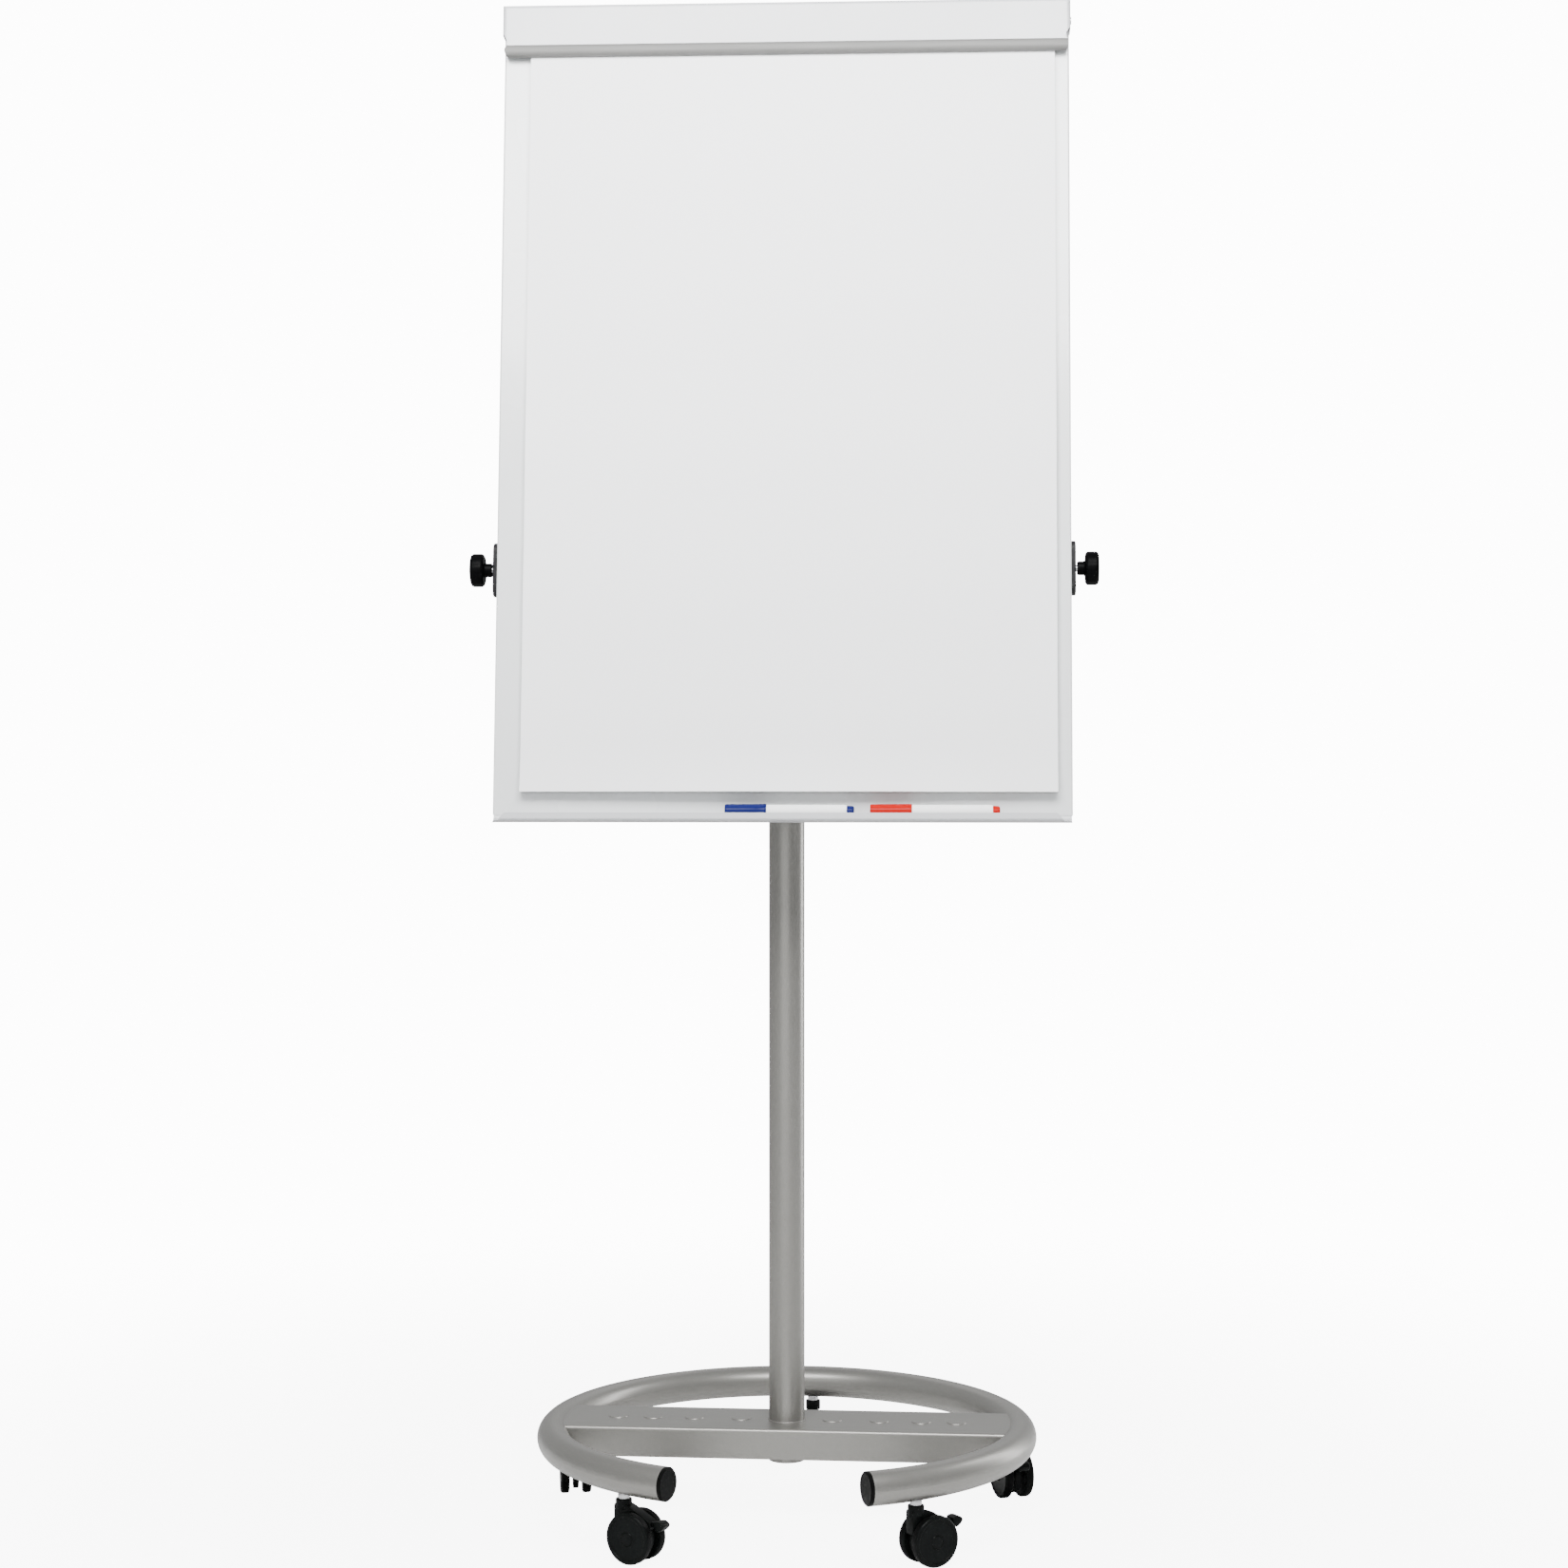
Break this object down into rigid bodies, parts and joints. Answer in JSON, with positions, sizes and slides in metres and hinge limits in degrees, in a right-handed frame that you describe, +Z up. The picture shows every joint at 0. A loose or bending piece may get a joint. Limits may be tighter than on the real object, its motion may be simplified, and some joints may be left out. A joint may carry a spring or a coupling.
{
  "type": "flipchart easel",
  "caption": "Mobile flipchart easel: tilting white steel board with paper pad, clamp flap and pen tray on a telescopic column with a castored ring base.",
  "frame": {"origin": "on the floor under the column's axis", "axes": "+Z up, +Y to the back of the board, +X to the right as seen from the front"},
  "size_m": [0.7664, 0.6005, 1.8753],
  "materials": {
    "silver_paint": "satin",
    "white_steel": "satin",
    "black_paint": "satin",
    "black_plastic": "matte",
    "castor_black": "satin",
    "grey_plastic": "matte",
    "zinc_steel": "satin",
    "satin_aluminium": "satin",
    "paper": "matte",
    "white_plastic": "satin",
    "blue_plastic": "satin",
    "red_plastic": "satin"
  },
  "bodies": {
    "base": {"base_ring": "silver_paint", "ring_end_caps": "black_plastic", "crossbar": "silver_paint", "column_tube": "silver_paint", "column_foot": "silver_paint", "column_collar": "black_plastic", "upper_bush": "black_plastic", "stem_sockets": "black_plastic", "castor_stems": "zinc_steel"},
    "column_lock": {"lock_knob": "black_plastic", "lock_stud": "zinc_steel"},
    "mast": {"mast_tube": "zinc_steel", "lower_bush": "black_plastic"},
    "head": {"head_bracket": "black_paint", "yoke": "black_paint", "head_bolts": "zinc_steel", "yoke_nuts": "zinc_steel"},
    "left_knob": {"tilt_knob_left": "black_plastic", "tilt_stud_left": "zinc_steel"},
    "right_knob": {"tilt_knob_right": "black_plastic", "tilt_stud_right": "zinc_steel"},
    "board": {"board_panel": "white_steel", "pen_tray": "white_steel", "back_rails": "white_steel", "tilt_plates": "grey_plastic", "pad_pegs": "zinc_steel", "paper_pad": "paper"},
    "flap": {"clamp_flap": "white_steel", "clamp_bar": "satin_aluminium", "clamp_bar_caps": "grey_plastic", "flap_pins": "zinc_steel"},
    "blue_marker": {"blue_pen": "white_plastic"},
    "blue_marker_cap": {"blue_pen_cap": "blue_plastic"},
    "red_marker": {"red_pen": "white_plastic"},
    "red_marker_cap": {"red_pen_cap": "red_plastic"},
    "front_right_castor": {"front_right_housing": "castor_black", "front_right_axle": "zinc_steel"},
    "front_right_roller_a": {"front_right_wheel_a": "castor_black"},
    "front_right_roller_b": {"front_right_wheel_b": "castor_black"},
    "front_right_lever": {"front_right_brake": "castor_black"},
    "mid_right_castor": {"mid_right_housing": "castor_black", "mid_right_axle": "zinc_steel"},
    "mid_right_roller_a": {"mid_right_wheel_a": "castor_black"},
    "mid_right_roller_b": {"mid_right_wheel_b": "castor_black"},
    "mid_right_lever": {"mid_right_brake": "castor_black"},
    "rear_castor": {"rear_housing": "castor_black", "rear_axle": "zinc_steel"},
    "rear_roller_a": {"rear_wheel_a": "castor_black"},
    "rear_roller_b": {"rear_wheel_b": "castor_black"},
    "rear_lever": {"rear_brake": "castor_black"},
    "mid_left_castor": {"mid_left_housing": "castor_black", "mid_left_axle": "zinc_steel"},
    "mid_left_roller_a": {"mid_left_wheel_a": "castor_black"},
    "mid_left_roller_b": {"mid_left_wheel_b": "castor_black"},
    "mid_left_lever": {"mid_left_brake": "castor_black"},
    "front_left_castor": {"front_left_housing": "castor_black", "front_left_axle": "zinc_steel"},
    "front_left_roller_a": {"front_left_wheel_a": "castor_black"},
    "front_left_roller_b": {"front_left_wheel_b": "castor_black"},
    "front_left_lever": {"front_left_brake": "castor_black"}
  },
  "joints": [
    {"name": "mast_height", "type": "slide", "parent": "base", "child": "mast", "axis": [0, 0, 1], "range_m": [-0.11, 0.15]},
    {"name": "head_swivel", "type": "hinge", "parent": "mast", "child": "head", "pos_m": [0, 0, 1.04], "axis": [0, 0, 1], "continuous": true},
    {"name": "board_tilt", "type": "hinge", "parent": "head", "child": "board", "pos_m": [0, -0.08376, 1.16933], "axis": [-1, 0, 0], "range_deg": [-6, 70]},
    {"name": "flap_open", "type": "hinge", "parent": "board", "child": "flap", "pos_m": [0, -0.01609, 1.85149], "axis": [-1, 0, 0], "range_deg": [0, 110]},
    {"name": "left_knob_turn", "type": "hinge", "parent": "head", "child": "left_knob", "pos_m": [-0.375, -0.08376, 1.16933], "axis": [-1, 0, 0], "range_deg": [0, 360]},
    {"name": "right_knob_turn", "type": "hinge", "parent": "head", "child": "right_knob", "pos_m": [0.375, -0.08376, 1.16933], "axis": [1, 0, 0], "range_deg": [0, 360]},
    {"name": "column_lock_turn", "type": "hinge", "parent": "base", "child": "column_lock", "pos_m": [0, 0.048, 0.881], "axis": [0, 1, 0], "range_deg": [0, 360]},
    {"name": "blue_marker_lift", "type": "slide", "parent": "board", "child": "blue_marker", "axis": [0, -0.4067, 0.9135], "range_m": [0, 0.06]},
    {"name": "red_marker_lift", "type": "slide", "parent": "board", "child": "red_marker", "axis": [0, -0.4067, 0.9135], "range_m": [0, 0.06]},
    {"name": "blue_cap_pull", "type": "slide", "parent": "blue_marker", "child": "blue_marker_cap", "axis": [-1, 0, 0], "range_m": [0, 0.017]},
    {"name": "red_cap_pull", "type": "slide", "parent": "red_marker", "child": "red_marker_cap", "axis": [-1, 0, 0], "range_m": [0, 0.017]},
    {"name": "front_right_swivel", "type": "hinge", "parent": "base", "child": "front_right_castor", "pos_m": [0.16273, -0.24125, 0.067], "axis": [0, 0, 1], "continuous": true},
    {"name": "front_right_roll_a", "type": "hinge", "parent": "front_right_castor", "child": "front_right_roller_a", "pos_m": [0.17723, -0.23146, 0.03], "axis": [-0.5592, 0.829, 0], "continuous": true},
    {"name": "front_right_roll_b", "type": "hinge", "parent": "front_right_castor", "child": "front_right_roller_b", "pos_m": [0.17723, -0.23146, 0.03], "axis": [-0.5592, 0.829, 0], "continuous": true},
    {"name": "front_right_brake_press", "type": "hinge", "parent": "front_right_castor", "child": "front_right_lever", "pos_m": [0.1934, -0.22056, 0.047], "axis": [-0.5592, 0.829, 0], "range_deg": [0, 18]},
    {"name": "mid_right_swivel", "type": "hinge", "parent": "base", "child": "mid_right_castor", "pos_m": [0.27596, 0.09234, 0.067], "axis": [0, 0, 1], "continuous": true},
    {"name": "mid_right_roll_a", "type": "hinge", "parent": "mid_right_castor", "child": "mid_right_roller_a", "pos_m": [0.28223, 0.076, 0.03], "axis": [0.9336, 0.3584, 0], "continuous": true},
    {"name": "mid_right_roll_b", "type": "hinge", "parent": "mid_right_castor", "child": "mid_right_roller_b", "pos_m": [0.28223, 0.076, 0.03], "axis": [0.9336, 0.3584, 0], "continuous": true},
    {"name": "mid_right_brake_press", "type": "hinge", "parent": "mid_right_castor", "child": "mid_right_lever", "pos_m": [0.28922, 0.05779, 0.047], "axis": [0.9336, 0.3584, 0], "range_deg": [0, 18]},
    {"name": "rear_swivel", "type": "hinge", "parent": "base", "child": "rear_castor", "pos_m": [0.0203, 0.29029, 0.067], "axis": [0, 0, 1], "continuous": true},
    {"name": "rear_roll_a", "type": "hinge", "parent": "rear_castor", "child": "rear_roller_a", "pos_m": [0.01938, 0.27282, 0.03], "axis": [0.9986, -0.0523, 0], "continuous": true},
    {"name": "rear_roll_b", "type": "hinge", "parent": "rear_castor", "child": "rear_roller_b", "pos_m": [0.01938, 0.27282, 0.03], "axis": [0.9986, -0.0523, 0], "continuous": true},
    {"name": "rear_brake_press", "type": "hinge", "parent": "rear_castor", "child": "rear_lever", "pos_m": [0.01836, 0.25334, 0.047], "axis": [0.9986, -0.0523, 0], "range_deg": [0, 18]},
    {"name": "mid_left_swivel", "type": "hinge", "parent": "base", "child": "mid_left_castor", "pos_m": [-0.27753, 0.08751, 0.067], "axis": [0, 0, 1], "continuous": true},
    {"name": "mid_left_roll_a", "type": "hinge", "parent": "mid_left_castor", "child": "mid_left_roller_a", "pos_m": [-0.27449, 0.07027, 0.03], "axis": [0.9848, 0.1736, 0], "continuous": true},
    {"name": "mid_left_roll_b", "type": "hinge", "parent": "mid_left_castor", "child": "mid_left_roller_b", "pos_m": [-0.27449, 0.07027, 0.03], "axis": [0.9848, 0.1736, 0], "continuous": true},
    {"name": "mid_left_brake_press", "type": "hinge", "parent": "mid_left_castor", "child": "mid_left_lever", "pos_m": [-0.27111, 0.05107, 0.047], "axis": [0.9848, 0.1736, 0], "range_deg": [0, 18]},
    {"name": "front_left_swivel", "type": "hinge", "parent": "base", "child": "front_left_castor", "pos_m": [-0.17916, -0.22931, 0.067], "axis": [0, 0, 1], "continuous": true},
    {"name": "front_left_roll_a", "type": "hinge", "parent": "front_left_castor", "child": "front_left_roller_a", "pos_m": [-0.164, -0.23806, 0.03], "axis": [0.5, 0.866, 0], "continuous": true},
    {"name": "front_left_roll_b", "type": "hinge", "parent": "front_left_castor", "child": "front_left_roller_b", "pos_m": [-0.164, -0.23806, 0.03], "axis": [0.5, 0.866, 0], "continuous": true},
    {"name": "front_left_brake_press", "type": "hinge", "parent": "front_left_castor", "child": "front_left_lever", "pos_m": [-0.14711, -0.24781, 0.047], "axis": [0.5, 0.866, 0], "range_deg": [0, 18]}
  ]
}
